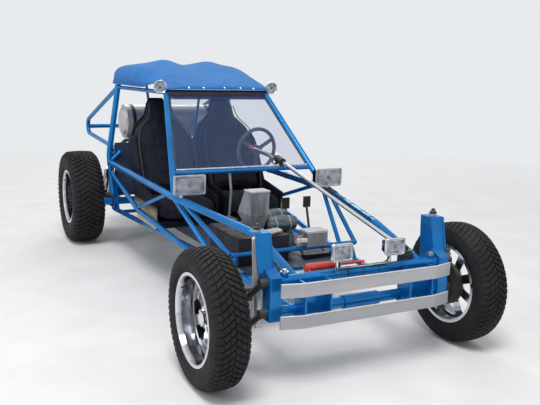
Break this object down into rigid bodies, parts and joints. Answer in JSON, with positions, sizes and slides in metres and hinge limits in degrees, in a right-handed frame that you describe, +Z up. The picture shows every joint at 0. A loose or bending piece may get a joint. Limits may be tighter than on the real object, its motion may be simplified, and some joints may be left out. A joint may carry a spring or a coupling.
{
  "type": "tube-frame dune buggy",
  "caption": "Two-seat open tube-frame dune buggy with a trailing-arm front beam, steered front wheels, rear engine, spun fuel tank and fabric top.",
  "frame": {"origin": "on the ground, in the middle of the overall length and width", "axes": "+Z up, -Y to the front, +X to the vehicle's left, the driver's side"},
  "size_m": [1.568, 3.7, 1.4249],
  "materials": {
    "frame_paint": "metallic gloss",
    "dark_paint": "gloss",
    "chrome": "polished",
    "bare_aluminium": "brushed",
    "cast_metal": "cast",
    "black_metal": "satin",
    "tyre": "matt",
    "glass": "clear",
    "seat_fabric": "woven",
    "seat_shell": "fibreglass",
    "canopy_fabric": "woven",
    "grey_metal": "weathered",
    "black_plastic": "textured",
    "red_paint": "gloss",
    "lamp": "clear lens"
  },
  "bodies": {
    "chassis": {"battery_box": "black_plastic", "bumper": "bare_aluminium", "canopy": "canopy_fabric", "column_bearing": "chrome", "control_boxes": "grey_metal", "cross_tubes": "frame_paint", "engine": "cast_metal", "exhaust": "chrome", "fan_shroud": "black_metal", "firewall": "black_metal", "floor_bars": "frame_paint", "floor_pan": "dark_paint", "front_arms": "black_metal", "front_beam": "frame_paint", "front_shocks": "bare_aluminium", "fuel_tank": "bare_aluminium", "gear_lever": "chrome", "headlamps": "lamp", "lower_rails": "frame_paint", "main_hoop": "frame_paint", "pedals": "black_metal", "rear_arms": "black_metal", "rear_braces": "frame_paint", "rear_cage": "frame_paint", "rear_shocks": "chrome", "roof_bars": "frame_paint", "roof_lamps": "chrome", "seat_covers": "seat_fabric", "seat_shells": "seat_shell", "shock_towers": "frame_paint", "side_braces": "frame_paint", "steering_box": "black_metal", "steering_damper": "red_paint", "tank_straps": "black_metal", "torsion_housing": "frame_paint", "transaxle": "cast_metal", "upper_rails": "frame_paint", "windshield_bars": "frame_paint", "windshield_glass": "glass", "windshield_posts": "frame_paint"},
    "knuckle_left": {"knuckle_left": "cast_metal"},
    "tie_rod_left": {"tie_rod_left": "black_metal"},
    "wheel_front_left": {"tyre_front_left": "tyre", "rim_front_left": "chrome"},
    "wheel_rear_left": {"tyre_rear_left": "tyre", "rim_rear_left": "chrome"},
    "knuckle_right": {"knuckle_right": "cast_metal"},
    "tie_rod_right": {"tie_rod_right": "black_metal"},
    "wheel_front_right": {"tyre_front_right": "tyre", "rim_front_right": "chrome"},
    "wheel_rear_right": {"tyre_rear_right": "tyre", "rim_rear_right": "chrome"},
    "pitman_arm": {"pitman_arm": "black_metal"},
    "steering_wheel": {"steering_wheel": "black_plastic"},
    "steering_shaft": {"steering_shaft": "chrome"}
  },
  "joints": [
    {"name": "steer_left", "type": "hinge", "parent": "chassis", "child": "knuckle_left", "pos_m": [0.604, -1.537, 0.313], "axis": [0, 0, 1], "range_deg": [-28, 28]},
    {"name": "steer_right", "type": "hinge", "parent": "chassis", "child": "knuckle_right", "pos_m": [-0.604, -1.537, 0.313], "axis": [0, 0, 1], "range_deg": [-28, 28]},
    {"name": "pitman_turn", "type": "hinge", "parent": "chassis", "child": "pitman_arm", "pos_m": [0.272, -1.637, 0.44], "axis": [0, 0, 1], "range_deg": [-28, 28]},
    {"name": "tie_rod_left_pivot", "type": "hinge", "parent": "knuckle_left", "child": "tie_rod_left", "pos_m": [0.604, -1.437, 0.38], "axis": [0, 0, 1], "range_deg": [-28, 28]},
    {"name": "tie_rod_right_pivot", "type": "hinge", "parent": "knuckle_right", "child": "tie_rod_right", "pos_m": [-0.604, -1.437, 0.38], "axis": [0, 0, 1], "range_deg": [-28, 28]},
    {"name": "steering_wheel_turn", "type": "hinge", "parent": "chassis", "child": "steering_wheel", "pos_m": [0.222, -0.1, 0.848], "axis": [0.1249, -0.9867, -0.1041], "range_deg": [-420, 420]},
    {"name": "steering_shaft_turn", "type": "hinge", "parent": "chassis", "child": "steering_shaft", "pos_m": [0.27, -1.597, 0.56], "axis": [0.014, -0.9788, -0.2043], "range_deg": [-420, 420]},
    {"name": "wheel_front_left_spin", "type": "hinge", "parent": "knuckle_left", "child": "wheel_front_left", "pos_m": [0.699, -1.537, 0.313], "axis": [1, 0, 0], "continuous": true},
    {"name": "wheel_rear_left_spin", "type": "hinge", "parent": "chassis", "child": "wheel_rear_left", "pos_m": [0.65, 1.243, 0.353], "axis": [1, 0, 0], "continuous": true},
    {"name": "wheel_front_right_spin", "type": "hinge", "parent": "knuckle_right", "child": "wheel_front_right", "pos_m": [-0.699, -1.537, 0.313], "axis": [1, 0, 0], "continuous": true},
    {"name": "wheel_rear_right_spin", "type": "hinge", "parent": "chassis", "child": "wheel_rear_right", "pos_m": [-0.65, 1.243, 0.353], "axis": [1, 0, 0], "continuous": true}
  ],
  "couplings": [
    {"joint": "steer_right", "follows": "steer_left", "ratio": 1},
    {"joint": "pitman_turn", "follows": "steer_left", "ratio": 1},
    {"joint": "tie_rod_left_pivot", "follows": "steer_left", "ratio": -1},
    {"joint": "tie_rod_right_pivot", "follows": "steer_left", "ratio": -1},
    {"joint": "steering_wheel_turn", "follows": "steer_left", "ratio": -15},
    {"joint": "steering_shaft_turn", "follows": "steer_left", "ratio": -15}
  ]
}
